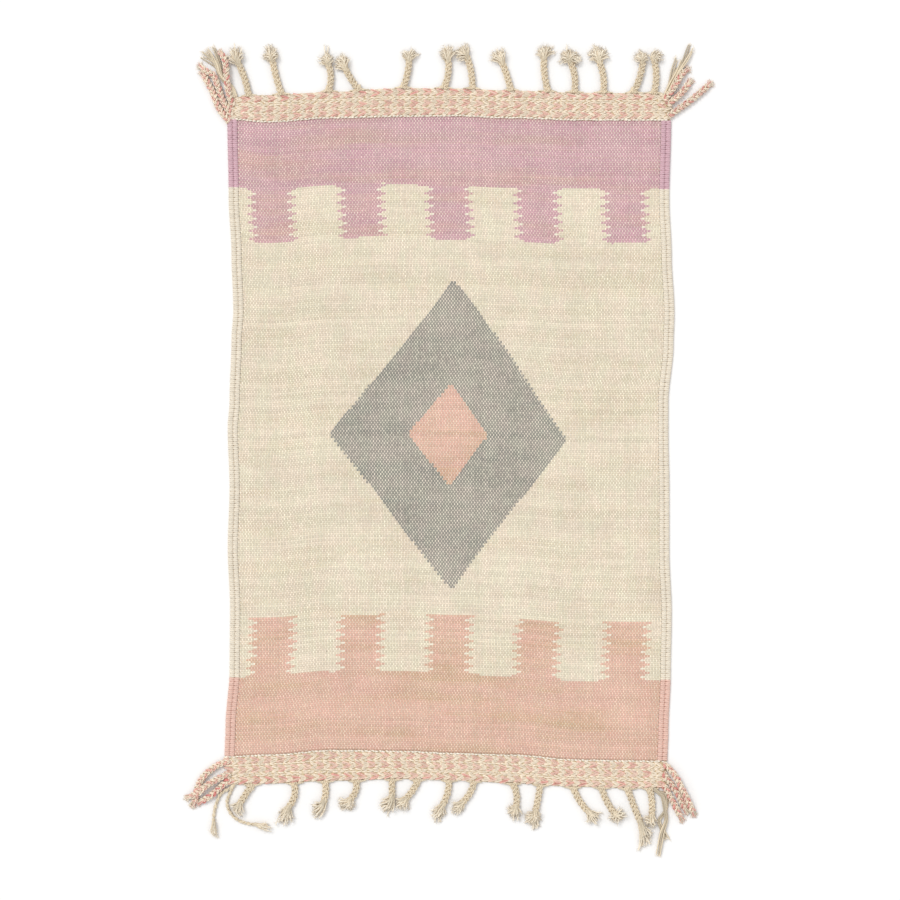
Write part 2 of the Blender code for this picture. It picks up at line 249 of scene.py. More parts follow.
BOTTOM_CORNERS = [
    Strand("braid", 0, [(-474, -696), (-484, -700), (-510, -714), (-532.7, -735.5), (-543.5, -759),
        (-547, -778.7), (-553, -795)]),
    Strand("braid", 5, [(-473, -722), (-481, -727), (-504, -739), (-527, -753.6), (-540, -765.7),
        (-566, -778.7)]),
    Strand("braid", 1, [(-472, -735), (-480, -742.5), (-499, -760), (-518, -775.5), (-532, -783.5),
        (-541, -789)], 1.2),
    Strand("cord", 0, [(-463, -748), (-473.5, -757), (-491.4, -768), (-502, -789.5), (-507.6, -814.5),
        (-507.6, -832.7), (-507.6, -862)]),
    Strand("cord", 0, [(-463, -748), (-470, -761), (-479, -786), (-473.5, -807.4), (-455.8, -825.3),
        (-428.8, -834.2), (-401.8, -836.1), (-386.5, -842.5)]),
    Strand("lock", 0, [(440, -757), (452, -765), (465, -769), (469.4, -782.3), (465.7, -805.7), (453.2, -825.3),
        (459, -843.3), (472.8, -872)]),
    Strand("lock", 3, [(443, -757), (455, -768), (461.4, -775.3), (466, -800), (467.6, -823.6), (460, -850),
        (456.2, -877.2), (453.2, -902)]),
    Strand("braid", 0, [(463.5, -751.5), (470.2, -760.6), (480.3, -781.1), (492, -802.6), (503.8, -825.6),
        ], 0.7),
    Strand("braid", 0, [(462, -723), (467.7, -731), (482.6, -753), (495.5, -772.2), (505.6, -794.5),
        (514.2, -808.5)], 0.9),
    Strand("braid", 8, [(462, -705), (470.9, -709.6), (488, -730), (502, -756.7), (512.8, -778.7),
        (524, -802.4), (529.6, -815)], 0.7),
]


def shown(red, green, blue):
    """The linear colour of one that shows as red, green and blue out of 255."""
    channels = (
        c / 255 / 12.92 if c < 11 else ((c / 255 + 0.055) / 1.055) ** 2.4 for c in (red, green, blue)
    )
    return (*channels, 1.0)


# Wools: each weft dye with the tone that its streaks turn to
CREAM = shown(231, 218, 195)
CREAM_STREAK = shown(225, 210, 183)
GREY = shown(160, 155, 146)
GREY_STREAK = shown(140, 141, 134)
LILAC = shown(206, 160, 172)
LILAC_STREAK = shown(208, 167, 160)
BLUSH = shown(227, 182, 164)
BLUSH_STREAK = shown(211, 174, 143)
WARP_CREAM = shown(247, 238, 219)
BAND_CREAM = shown(247, 233, 212)
BAND_BLUSH = shown(240, 206, 190)
STITCH_WHITE = shown(255, 250, 238)
BRAID_BLUSH = shown(231, 156, 148)
UNDYED = shown(233, 218, 191)
# Painted shade: the dark core yarn inside plaits, seen in the gaps between their strands
GAP_PAINTED_SHADE = shown(172, 148, 116)
# Painted shade: the dark core yarn inside a tuft's locks
TUFT_PAINTED_SHADE = shown(140, 116, 84)
BEAD_WOOL = shown(250, 244, 228)
FLECK_WOOL = shown(120, 96, 80)
# Painted shade: the darker cream of the strip under the twining, and the shade between its cords
GROUND_SHADED_WOOL = shown(224, 205, 172)
GROUND_PAINTED_SHADE = shown(186, 164, 130)
ROSY_TINT = (1.020, 0.985, 0.990, 1.0)
GREEN_TINT = (0.985, 1.002, 0.976, 1.0)
# Painted shade for the flanks of yarns, which face away from up
FLANK_PAINTED_SHADE = (0.78, 0.66, 0.52, 1.0)
RIB_FLANK_PAINTED_SHADE = (0.84, 0.80, 0.80, 1.0)
RIB_TINT = (0.935, 0.965, 1.030)
AREA_WOOL = {"cream": CREAM, "grey": GREY, "lilac": LILAC, "blush": BLUSH}


def eased(rows, at, column):
    """The column's value at a place between the rows of a table, with no corners."""
    at = min(max(at, rows[0][0]), rows[-1][0])
    i = 0
    while i < len(rows) - 2 and rows[i + 1][0] <= at:
        i += 1
    share = (at - rows[i][0]) / (rows[i + 1][0] - rows[i][0])
    smooth = share * share * (3 - 2 * share)
    low, high = getattr(rows[i], column), getattr(rows[i + 1], column)
    return low + (high - low) * smooth


def tinted(colour, factor):
    return tuple(min(1.0, channel * factor) for channel in colour[:3]) + (1.0,)


def mixed(first, second, share):
    return tuple(a + (b - a) * share for a, b in zip(first, second))


# Node trees


class Graph:
    """Short words for placing and joining the nodes of one tree."""

    def __init__(self, tree):
        self.tree = tree

    def feed(self, socket, value):
        if isinstance(value, bpy.types.NodeSocket):
            self.tree.links.new(value, socket)
        else:
            socket.default_value = value

    def add(self, kind, feeds=(), **settings):
        """A new node. feeds holds what goes into its inputs, by name or in order."""
        node = self.tree.nodes.new(kind)
        for name, value in settings.items():
            setattr(node, name, value)
        for key, value in feeds.items() if isinstance(feeds, dict) else enumerate(feeds):
            self.feed(node.inputs[key], value)
        return node

    def math(self, operation, *values, clamp=False):
        return self.add("ShaderNodeMath", values, operation=operation, use_clamp=clamp).outputs[0]

    def plus(self, a, b, clamp=False):
        return self.math("ADD", a, b, clamp=clamp)

    def minus(self, a, b, clamp=False):
        return self.math("SUBTRACT", a, b, clamp=clamp)

    def times(self, a, b):
        return self.math("MULTIPLY", a, b)

    def vary(self, low, reach, by):
        """low, and up to reach more as by goes from 0 to 1."""
        return self.plus(low, self.times(by, reach))

    def far(self, value):
        return self.math("ABSOLUTE", value)

    def mix(self, share, a, b, blend="MIX"):
        node = self.add("ShaderNodeMix", {0: share, 6: a, 7: b}, data_type="RGBA", blend_type=blend)
        return node.outputs[2]

    def dyed(self, colour, by):
        """A colour multiplied by another, or by a shade."""
        return self.mix(1.0, colour, by, "MULTIPLY")

    def between(self, value, low, high, to_low=0.0, to_high=1.0):
        """A smooth step from to_low to to_high as the value goes from low to high."""
        feeds = (value, low, high, to_low, to_high)
        return self.add("ShaderNodeMapRange", feeds, interpolation_type="SMOOTHSTEP").outputs[0]

    def split(self, vector):
        return self.add("ShaderNodeSeparateXYZ", [vector]).outputs

    def scaled(self, vector, x, y, z=1.0):
        return self.add("ShaderNodeVectorMath", (vector, (x, y, z)), operation="MULTIPLY").outputs[0]

    def noise(self, vector, scale, detail=2.0, roughness=0.5):
        feeds = {"Vector": vector, "Scale": scale, "Detail": detail, "Roughness": roughness}
        return self.add("ShaderNodeTexNoise", feeds).outputs["Fac"]

    def chance(self, *cell):
        """A number from 0 to 1 that each cell of whole numbers has for its own."""
        cell = self.add("ShaderNodeCombineXYZ", cell).outputs[0]
        return self.add("ShaderNodeTexWhiteNoise", [cell], noise_dimensions="3D").outputs["Value"]

    def attribute(self, name):
        return self.add("ShaderNodeAttribute", attribute_name=name).outputs

    def here(self):
        return self.add("ShaderNodeTexCoord").outputs["Object"]

    def place(self, group, **values):
        """A node group placed in this tree, with its inputs fed by name."""
        return self.add("ShaderNodeGroup", values, node_tree=group).outputs

    def carried(self, name, kind):
        """What the points of a geometry carry under a name."""
        node = self.add("GeometryNodeInputNamedAttribute", {"Name": name}, data_type=kind)
        return node.outputs["Attribute"]


def new_group(name, inputs, outputs, kind="ShaderNodeTree"):
    """A node group with named sockets: its Graph, and what it is given and puts out.

    An input is a name and a kind of socket, and may have a value of its own.
    """
    tree = bpy.data.node_groups.new(name, kind)
    for label, socket, *value in inputs:
        made = tree.interface.new_socket(name=label, in_out="INPUT", socket_type="NodeSocket" + socket)
        if value:
            made.default_value = value[0]
    for label, socket in outputs:
        tree.interface.new_socket(name=label, in_out="OUTPUT", socket_type="NodeSocket" + socket)
    graph = Graph(tree)
    return graph, graph.add("NodeGroupInput").outputs, graph.add("NodeGroupOutput").inputs


def plain_weave_group():
    """Warps that show as small round floats between the wefts, thread by thread, with painted shade in the pits
    between the floats.
    """
    graph, given, out = new_group(
        "plain_weave",
        [
            ("Threads", "Vector"),
            ("Weft", "Color"),
            ("Warp", "Color"),
            ("Pit", "Float", 0.6),
            ("Hidden", "Float", 0.3),
        ],
        [("Colour", "Color"), ("Height", "Float")],
    )
    u, v, _ = graph.split(given["Threads"])
    warp, pick = graph.math("FLOOR", u), graph.math("FLOOR", v)
    across = graph.minus(graph.minus(u, warp), 0.5)
    along = graph.minus(graph.minus(v, pick), 0.5)
    weft_up = graph.math("FLOORED_MODULO", graph.plus(warp, pick), 2.0)
    warp_up = graph.minus(1.0, weft_up)
    luck = graph.chance(warp, pick, 1.0)
    pick_luck = graph.chance(3.0, pick, 2.0)
    warp_luck = graph.chance(warp, 5.0, 3.0)

    def dome(width, length):
        """How high a float stands, from its middle down to its sides and ends."""
        a, b = (
            graph.math("POWER", graph.math("DIVIDE", graph.far(way), half), 2.0)
            for way, half in ((across, width), (along, length))
        )
        return graph.minus(1.0, graph.plus(a, b), clamp=True)

    warp_dome, weft_dome = dome(0.47, 0.64), dome(0.72, 0.60)
    covered = graph.times(luck, given["Hidden"])
    warp_seen = graph.times(warp_up, graph.between(graph.minus(warp_dome, covered), 0.0, 0.22))
    round_top = graph.plus(graph.times(weft_up, weft_dome), graph.times(warp_up, warp_dome))
    # Painted shade: the weft darkens from the top of each float down to the pits between floats
    shade = graph.vary(given["Pit"], graph.minus(1.0, given["Pit"]), graph.between(round_top, 0.0, 0.45))
    weft_tone = graph.times(graph.vary(0.93, 0.14, pick_luck), graph.vary(0.94, 0.12, luck))
    warp_tone = graph.vary(graph.vary(0.84, 0.12, warp_luck), 0.20, graph.chance(pick, warp, 4.0))
    weft = graph.dyed(given["Weft"], graph.times(shade, weft_tone))
    graph.feed(out["Colour"], graph.mix(warp_seen, weft, graph.dyed(given["Warp"], warp_tone)))
    graph.feed(out["Height"], graph.times(graph.math("SQRT", round_top), graph.vary(0.8, 0.2, luck)))
    return graph.tree


def plied_yarn_group():
    """Two plies twisted round each other, with painted shade in the grooves between them and loose fibres on
    them.
    """
    graph, given, out = new_group(
        "plied_yarn",
        [("Wool", "Color"), ("Pitch", "Float", 0.007), ("Groove", "Float", 0.72)],
        [("Colour", "Color"), ("Height", "Float")],
    )
    x, y, _ = graph.split(graph.attribute("around")["Vector"])
    run = graph.math("DIVIDE", graph.attribute("along")["Fac"], given["Pitch"])
    ply = graph.far(graph.math("SINE", graph.vary(graph.math("ARCTAN2", y, x), pi, run)))
    fibres = graph.noise(graph.here(), 1300.0, 3.0, 0.6)
    patches = graph.noise(graph.here(), 160.0)
    # Painted shade in the grooves between the plies, times random tone from the fibres and patches
    shade = graph.times(graph.between(ply, 0.0, 0.5, given["Groove"]), graph.vary(0.92, 0.20, fibres))
    shade = graph.times(shade, graph.vary(0.92, 0.18, patches))
    graph.feed(out["Colour"], graph.dyed(given["Wool"], shade))
    graph.feed(out["Height"], graph.vary(ply, 0.5, fibres))
    return graph.tree


def abrash_group():
    """Streaks along the wefts where the dye took unevenly: broad ones and single picks."""
    graph, given, out = new_group(
        "abrash",
        [("Threads", "Vector"), ("Broad", "Float", 0.5), ("Fine", "Float", 0.5)],
        [("Streak", "Float"), ("Soil", "Float"), ("Fleck", "Float")],
    )

    def patches(across, along, detail, roughness):
        return graph.noise(graph.scaled(given["Threads"], across, along), 1.0, detail, roughness)

    broad = graph.times(graph.between(patches(0.010, 0.085, 3.0, 0.55), 0.42, 0.68), given["Broad"])
    fine = graph.times(graph.between(patches(0.016, 0.75, 2.0, 0.6), 0.50, 0.78), given["Fine"])
    graph.feed(out["Streak"], graph.plus(broad, fine, clamp=True))
    graph.feed(out["Soil"], patches(0.030, 0.040, 4.0, 0.6))
    graph.feed(out["Fleck"], graph.between(patches(0.8, 0.55, 1.0, 0.5), 0.765, 0.825))
    return graph.tree


PLAIN_WEAVE = plain_weave_group()
PLIED_YARN = plied_yarn_group()
ABRASH = abrash_group()


# Materials


def wool_shader(name, roughness, sheen):
    """A new material with its Graph and its shader, and the values that wool has all over."""
    material = bpy.data.materials.new(name)
    material.use_nodes = True
    shader = material.node_tree.nodes["Principled BSDF"]
    values = {"Roughness": roughness, "Specular IOR Level": 0.25, "Sheen Weight": sheen, "Sheen Roughness": 0.6}
    for socket, value in values.items():
        shader.inputs[socket].default_value = value
    return material, Graph(material.node_tree), shader


def dress(graph, shader, colour, height, distance, strength):
    """Gives a shader its colour, and a bump of some metres' height."""
    bump = graph.add("ShaderNodeBump", {"Strength": strength, "Distance": distance, "Height": height})
    graph.feed(shader.inputs["Base Color"], colour)
    graph.feed(shader.inputs["Normal"], bump.outputs["Normal"])


def tapestry_material():
    """The field: cream warps, and wefts whose dye changes where the areas do."""
    material, graph, shader = wool_shader("tapestry_wool", 0.93, 0.12)
    threads = graph.add("ShaderNodeUVMap", uv_map="threads").outputs["UV"]
    chart = graph.attribute("dye_area")
    areas = graph.add("ShaderNodeSeparateColor", [chart["Color"]]).outputs
    abrash = graph.place(ABRASH, Threads=threads, Broad=0.75, Fine=0.55)
    main, streak, tint = CREAM, CREAM_STREAK, 0.0
    dyes = [(GREY, GREY_STREAK, 0.30), (LILAC, LILAC_STREAK, 0.42), (BLUSH, BLUSH_STREAK, 0.50)]
    for mask, (dye, dye_streak, covered) in zip(areas, dyes):
        inside = graph.math("GREATER_THAN", mask, 0.5)
        main, streak = graph.mix(inside, main, dye), graph.mix(inside, streak, dye_streak)
        tint = graph.vary(tint, covered, inside)
    hidden = graph.between(abrash["Soil"], 0.35, 0.62, 0.30, 0.62)
    weft = graph.mix(abrash["Streak"], main, streak)
    warp = graph.mix(tint, WARP_CREAM, weft)
    weave = graph.place(PLAIN_WEAVE, Threads=threads, Weft=weft, Warp=warp, Pit=0.66, Hidden=hidden)
    warmth = graph.noise(graph.scaled(threads, 0.11, 0.085), 1.0, 3.0, 0.6)
    colour = graph.dyed(weave["Colour"], graph.between(abrash["Soil"], 0.30, 0.72, 1.03, 0.965))
    colour = graph.dyed(colour, graph.mix(graph.between(warmth, 0.38, 0.62), ROSY_TINT, GREEN_TINT))
    bead = graph.math("GREATER_THAN", chart["Alpha"], 0.5)
    colour = graph.mix(graph.times(bead, 0.6), colour, BEAD_WOOL)
    colour = graph.dyed(colour, notch_shade(graph, threads))
    colour = graph.mix(graph.times(abrash["Fleck"], 0.55), colour, FLECK_WOOL)
    dress(graph, shader, colour, weave["Height"], 0.0011, 0.8)
    return material


def notch_shade(graph, threads):
    """Small dark notches at every second pick, where a selvedge's turns pull the cloth in."""
    across, along, _ = graph.split(threads)
    from_edge = graph.minus(WARPS / 2, graph.far(graph.minus(across, WARPS / 2)))
    near = graph.far(graph.minus(from_edge, SELVEDGE_WARPS + 0.7))
    wave = graph.far(graph.math("SINE", graph.times(along, pi / 2)))
    dark = graph.times(graph.between(near, 0.25, 0.75, 1.0, 0.0), graph.between(wave, 0.55, 0.95))
    return graph.minus(1.0, graph.times(dark, 0.45))


def yarn_material(name, pitch, sheen, flank=FLANK_PAINTED_SHADE):
    """Plied yarn in the dye that each stitch or strand carries, with painted shade on its flanks."""
    material, graph, shader = wool_shader(name, 0.92, sheen)
    dye = graph.dyed(graph.attribute("dye")["Color"], graph.attribute("tone")["Fac"])
    yarn = graph.place(PLIED_YARN, Wool=dye, Pitch=pitch, Groove=0.82)
    facing = graph.split(graph.add("ShaderNodeNewGeometry").outputs["Normal"])[2]
    # Painted shade: the colour darkens towards the flank shade where the yarn's normal turns away from +Z
    painted_flank_shade = graph.mix(graph.between(facing, 0.0, 0.75), flank, (1.0, 1.0, 1.0, 1.0))
    dress(graph, shader, graph.dyed(yarn["Colour"], painted_flank_shade), yarn["Height"], 0.0005, 0.7)
    return material


def band_ground_material():
    """The cords of the strip under the twining, in a cream darkened as painted shade for the gaps between
    stitches, and darker still between the cords.
    """
    material, graph, shader = wool_shader("band_ground_wool", 0.95, 0.1)
    cords = graph.noise(graph.scaled(graph.here(), 1.0, 0.15), 420.0)
    # Painted shade: darker colour in the low parts of the cords' bump
    colour = graph.mix(graph.between(cords, 0.3, 0.7), GROUND_PAINTED_SHADE, GROUND_SHADED_WOOL)
    dress(graph, shader, colour, cords, 0.001, 0.6)
    return material


TAPESTRY_WOOL = tapestry_material()
SELVEDGE_WOOL = yarn_material("selvedge_wool", 0.009, 0.15, RIB_FLANK_PAINTED_SHADE)
TWINED_WOOL = yarn_material("twined_wool", 0.007, 0.15)
WARP_YARN = yarn_material("warp_yarn", 0.006, 0.25)
BAND_GROUND_SHADED_WOOL = band_ground_material()


# Geometry Nodes: yarns spun along paths, and stitches laid on points


def yarn_tree():
    """Turns polylines with a thickness into closed tubes, and keeps what their points carry."""
    graph, given, out = new_group(
        "spin_yarn",
        [("Paths", "Geometry"), ("Sides", "Int", 6), ("Material", "Material")],
        [("Geometry", "Geometry")],
        "GeometryNodeTree",
    )
    curves = graph.add("GeometryNodeMeshToCurve", {"Mesh": given["Paths"]})
    circle = graph.add("GeometryNodeCurvePrimitiveCircle", {"Resolution": given["Sides"], "Radius": 1.0})
    corner = graph.add("GeometryNodeInputPosition").outputs[0]
    feeds = {"Geometry": circle.outputs["Curve"], "Name": "around", "Value": corner}
    around = graph.add("GeometryNodeStoreNamedAttribute", feeds, data_type="FLOAT_VECTOR")
    feeds = {
        "Curve": curves.outputs["Curve"],
        "Profile Curve": around.outputs["Geometry"],
        "Scale": graph.carried("thickness", "FLOAT"),
        "Fill Caps": True,
    }
    tube = graph.add("GeometryNodeCurveToMesh", feeds)
    smooth = graph.add("GeometryNodeSetShadeSmooth", {"Geometry": tube.outputs["Mesh"]})
    return finish_tree(graph, smooth.outputs["Geometry"], given["Material"], out["Geometry"])


def stitch_tree():
    """Lays a stitch on each point, turned and sized as the point says."""
    graph, given, out = new_group(
        "lay_stitches",
        [("Points", "Geometry"), ("Stitch", "Object"), ("Material", "Material")],
        [("Geometry", "Geometry")],
        "GeometryNodeTree",
    )
    stitch = graph.add("GeometryNodeObjectInfo", {"Object": given["Stitch"]})
    feeds = {
        "Points": given["Points"],
        "Instance": stitch.outputs["Geometry"],
        "Rotation": graph.carried("turn", "FLOAT_VECTOR"),
        "Scale": graph.carried("size", "FLOAT_VECTOR"),
    }
    laid = graph.add("GeometryNodeInstanceOnPoints", feeds)
    return finish_tree(graph, laid.outputs["Instances"], given["Material"], out["Geometry"])


def finish_tree(graph, geometry, material, out):
    """Ends a tree in plain geometry with its material on it."""
    real = graph.add("GeometryNodeRealizeInstances", {"Geometry": geometry})
    feeds = {"Geometry": real.outputs["Geometry"], "Material": material}
    graph.feed(out, graph.add("GeometryNodeSetMaterial", feeds).outputs["Geometry"])
    return graph.tree


SPIN_YARN = yarn_tree()
LAY_STITCHES = stitch_tree()


def grow(obj, tree, **values):
    """Runs a tree on an object and keeps the result as its plain mesh."""
    modifier = obj.modifiers.new(tree.name, "NODES")
    modifier.node_group = tree
    for item in tree.interface.items_tree:
        if item.item_type == "SOCKET" and item.in_out == "INPUT" and item.name in values:
            modifier[item.identifier] = values[item.name]
    depsgraph = bpy.context.evaluated_depsgraph_get()
    seed = obj.data
    grown = bpy.data.meshes.new_from_object(
        obj.evaluated_get(depsgraph), preserve_all_data_layers=True, depsgraph=depsgraph
    )
    obj.modifiers.clear()
    obj.data = grown
    grown.name = obj.name
    bpy.data.meshes.remove(seed)
    return obj


CARRIED = {"dye": "FLOAT_COLOR", "turn": "FLOAT_VECTOR", "size": "FLOAT_VECTOR"}


def add_object(name, mesh):
    obj = bpy.data.objects.new(name, mesh)
    bpy.context.scene.collection.objects.link(obj)
    return obj


def point_mesh(name, points, edges, **layers):
    """A mesh of points, with or without edges, whose points carry layers of values."""
    mesh = bpy.data.meshes.new(name)
    mesh.from_pydata(points, edges, [])
    for layer, values in layers.items():
        carry(mesh, layer, CARRIED.get(layer, "FLOAT"), values)
    return add_object(name, mesh)


def carry(mesh, name, kind, values):
    """Stores a value for each point of a mesh under a name."""
    layer = mesh.attributes.new(name, kind, "POINT")
    slot = {"FLOAT": "value", "FLOAT_VECTOR": "vector", "FLOAT_COLOR": "color"}[kind]
    flat = list(values) if kind == "FLOAT" else [part for value in values for part in value]
    layer.data.foreach_set(slot, flat)


def closed_sheet(name, points, columns, material, flipped=False):
    """A closed solid on the floor under rows of points, and the points round its rim.

    flipped is for rows that run towards -Y.
    """
    last = len(points) - columns
    faces = [
        (a, a + 1, a + columns + 1, a + columns)
        for row in range(0, last, columns)
        for a in range(row, row + columns - 1)
    ]
    rim = [*range(columns), *range(2 * columns - 1, len(points), columns)]
    rim += [*range(len(points) - 2, last - 1, -1), *range(last - columns, 0, -columns)]
    foot, count = len(points), len(rim)
    for i in range(count):
        j = (i + 1) % count
        faces.append((rim[i], foot + i, foot + j, rim[j]))
    faces.append(tuple(range(foot + count - 1, foot - 1, -1)))
    if flipped:
        faces = [face[:1] + face[:0:-1] for face in faces]
    mesh = bpy.data.meshes.new(name)
    mesh.from_pydata(points + [(points[i][0], points[i][1], 0.0) for i in rim], [], faces)
    mesh.shade_smooth()
    mesh.materials.append(material)
    return add_object(name, mesh), rim


def up(height):
    return Vector((0.0, 0.0, height))


def quarter_turn(way):
    """The level direction at a right angle to the left of another."""
    return Vector((-way.y, way.x, 0.0))


def runs(path, start=0.0):
    """How far along a path each of its points lies."""
    along = [start]
    for low, high in zip(path, path[1:]):
        along.append(along[-1] + (high - low).length)
    return along


class Hank:
    """Yarn paths that wait to be spun into one piece."""

    def __init__(self):
        self.points, self.edges = [], []
        self.thickness, self.along, self.dye, self.tone = [], [], [], []

    def lay(self, path, thickness, dye, start=0.0, tone=1.0):
        """Adds a path. Its thickness, dye and tone are each one value, or a list by point."""
        first = len(self.points)
        self.points += path
        self.edges += [(i, i + 1) for i in range(first, len(self.points) - 1)]
        self.along += runs(path, start)
        for kept, given in ((self.thickness, thickness), (self.dye, dye), (self.tone, tone)):
            kept += given if isinstance(given, list) else [given] * len(path)

    def lay_by_luck(self, path, thickness, dye, tones, luck):
        """Adds a path whose twist and tone are left to luck."""
        self.lay(path, thickness, dye, luck.uniform(0, TWIST_START), luck.uniform(*tones))

    def spin(self, name, material, sides):
        layers = {"thickness": self.thickness, "along": self.along, "dye": self.dye, "tone": self.tone}
        paths = point_mesh(name, self.points, self.edges, **layers)
        return grow(paths, SPIN_YARN, Sides=sides, Material=material)


class Stitches:
    """Places that wait for a stitch to be laid on each."""

    def __init__(self):
        self.points, self.turn, self.size, self.dye = [], [], [], []

    def lay(self, point, turn, size, dye):
        self.points.append(point)
        self.turn.append(turn)
        self.size.append(size)
        self.dye.append(dye)

    def sew(self, name, stitch, material):
        places = point_mesh(name, self.points, [], turn=self.turn, size=self.size, dye=self.dye)
        return grow(places, LAY_STITCHES, Stitch=stitch, Material=material)


# The woven field


def cloth_sides(along):
    """Where the left and the right selvedge stand at a place along the warp."""
    return -eased(SIDES, along, "left"), eased(SIDES, along, "right")


def cloth_place(warp, pick):
    """Where a thread count lies on the floor. Counts run from the left and from the bottom."""
    share = pick / PICKS
    left, right = cloth_sides(SEAM_ALONG * (2 * share - 1))
    x = left + (right - left) * warp / WARPS
    low = -eased(BOTTOM_EDGES, x, "inner") + PIECE_GAP
    high = eased(TOP_EDGES, x, "inner") - PIECE_GAP
    return x, low + (high - low) * share


# The woven design, in threads: a stepped lozenge between two toothed borders.
TOP_BORDER = 34
TOP_PRONG = 60
BOTTOM_BORDER = 38
BOTTOM_PRONG = 66
PRONG_COUNT = 5
PRONG_HALF = 13
DOVETAIL = (-3, 0, 3, 0)
BEAD_REACH = 2
LOZENGE_HALF = 74
CORE_HALF = 24
STEP_PICKS = 2
STEP_SLOPE = 1.03


def drift(count, size, seed):
    """A slow wander of a join by a thread or so, as on hand weaving."""
    return size * noise.noise(Vector((count / 46.0, seed, 0.5)))


def in_lozenge(warp, pick, half):
    """Whether a crossing lies in a stepped lozenge that is half picks high to either side."""
    away = abs(pick - PICKS / 2 + 0.5)
    stepped = away // STEP_PICKS * STEP_PICKS
    reach = (half - stepped) * STEP_SLOPE
    return away < half and abs(warp - WARPS / 2 + 0.5 + drift(pick, 2.0, 7.0)) < reach


def past_prong(warp, pick):
    """How many warps a crossing lies outside the side of the nearest prong."""
    pitch = WARPS / PRONG_COUNT
    away = abs((warp + 0.5 + drift(pick, 2.0, 3.0)) % pitch - pitch / 2)
    return away - PRONG_HALF - DOVETAIL[pick % len(DOVETAIL)]


def in_prong(warp, pick):
    return past_prong(warp, pick) < 0


def is_bead(warp, pick):
    """Where two cream wefts share a warp in the notch of a dovetailed join, and stand out."""
    beside_top = TOP_BORDER < PICKS - pick < TOP_PRONG - 1
    beside_bottom = BOTTOM_BORDER < pick < BOTTOM_PRONG - 1
    notch = DOVETAIL[pick % len(DOVETAIL)] == min(DOVETAIL)
    return notch and (beside_top or beside_bottom) and 0 <= past_prong(warp, pick) < BEAD_REACH


def area_at(warp, pick):
    """The dye area of a crossing."""
    from_top = PICKS - pick + drift(warp, 1.6, 1.0)
    from_bottom = pick + drift(warp, 1.6, 2.0)
    if from_top < TOP_BORDER or (from_top < TOP_PRONG and in_prong(warp, pick)):
        return "lilac"
    if from_bottom < BOTTOM_BORDER or (from_bottom < BOTTOM_PRONG and in_prong(warp, pick)):
        return "blush"
    if in_lozenge(warp, pick, CORE_HALF):
        return "blush"
    if in_lozenge(warp, pick, LOZENGE_HALF):
        return "grey"
    return "cream"


AREA_MASK = {"cream": (0, 0, 0), "grey": (1, 0, 0), "lilac": (0, 1, 0), "blush": (0, 0, 1)}


def woven_field():
    """One sheet with a point at each crossing of warp and weft, where the warps stand up."""
    points, threads, masks = [], [], []
    for row in range(PICKS):
        for column in range(WARPS):
            x, y = cloth_place(column * WARPS / (WARPS - 1), row * PICKS / (PICKS - 1))
            inside = min(column, WARPS - 1 - column) >= SELVEDGE_WARPS
            height = CLOTH_TOP if inside else UNDER_SELVEDGE
            height += COCKLE * noise.noise(Vector((x, y, 0.0)) / COCKLE_SIZE)
            height += CHECKER_RELIEF * (1 if (row + column) % 2 == 0 else -1)
            points.append((x, y, height))
            threads.append((column + 0.5, row + 0.5))
            masks.append(AREA_MASK[area_at(column, row)] + (1 if is_bead(column, row) else 0,))
    field, rim = closed_sheet("kilim_field", points, WARPS, TAPESTRY_WOOL)
    threads += [threads[i] for i in rim]
    masks += [masks[i] for i in rim]
    mesh = field.data
    uv = mesh.uv_layers.new(name="threads")
    uv.data.foreach_set("uv", [part for loop in mesh.loops for part in threads[loop.vertex_index]])
    carry(mesh, "dye_area", "FLOAT_COLOR", masks)
    return field


def wrap_stitch():
    """One turn of weft over a selvedge rib, from its outer side to its inner."""
    hank, path = Hank(), []
    for i in range(WRAP_STEPS + 1):
        angle = pi * i / WRAP_STEPS
        across = -cos(angle) * (RIB_WIDTH / 2 - WRAP_THICK * 0.5)
        path.append(Vector((across, 0.0, WRAP_FOOT + (WRAP_CROWN - WRAP_FOOT) * sin(angle) ** 0.7)))
    hank.lay(path, WRAP_THICK, (1, 1, 1, 1))
    stitch = hank.spin("wrap_stitch", SELVEDGE_WOOL, 5)
    stitch.data.attributes.remove(stitch.data.attributes["dye"])
    return stitch


def selvedge(name, side, stitch):
    """Both wrapped ribs down one side, in the dyes of the areas that reach it."""
    luck = random.Random(41 + side)
    wraps = Stitches()
    edge_warp = 0 if side < 0 else WARPS
    for pick in range(PICKS):
        area = area_at(2 if side < 0 else WARPS - 3, pick)
        x, y = cloth_place(edge_warp, pick + 0.5)
        for rib in range(RIBS):
            place = Vector((x - side * RIB_WIDTH * (rib + 0.5), y, 0.0))
            pair = 1 if pick % 2 else -1
            place.y -= pair * 0.0002
            slant = radians(pair * 4 + luck.uniform(-5, 5))
            size = (1.0, luck.uniform(0.96, 1.08), luck.uniform(0.96, 1.03) - 0.01 * pair)
            wool = mixed(AREA_WOOL[area], CREAM, 0.18)
            dye = tinted([a * b for a, b in zip(wool, RIB_TINT)], luck.uniform(1.02, 1.12))
            wraps.lay(place, (0.0, 0.0, slant), size, dye)
    return wraps.sew(name, stitch, SELVEDGE_WOOL)


# The twined bands


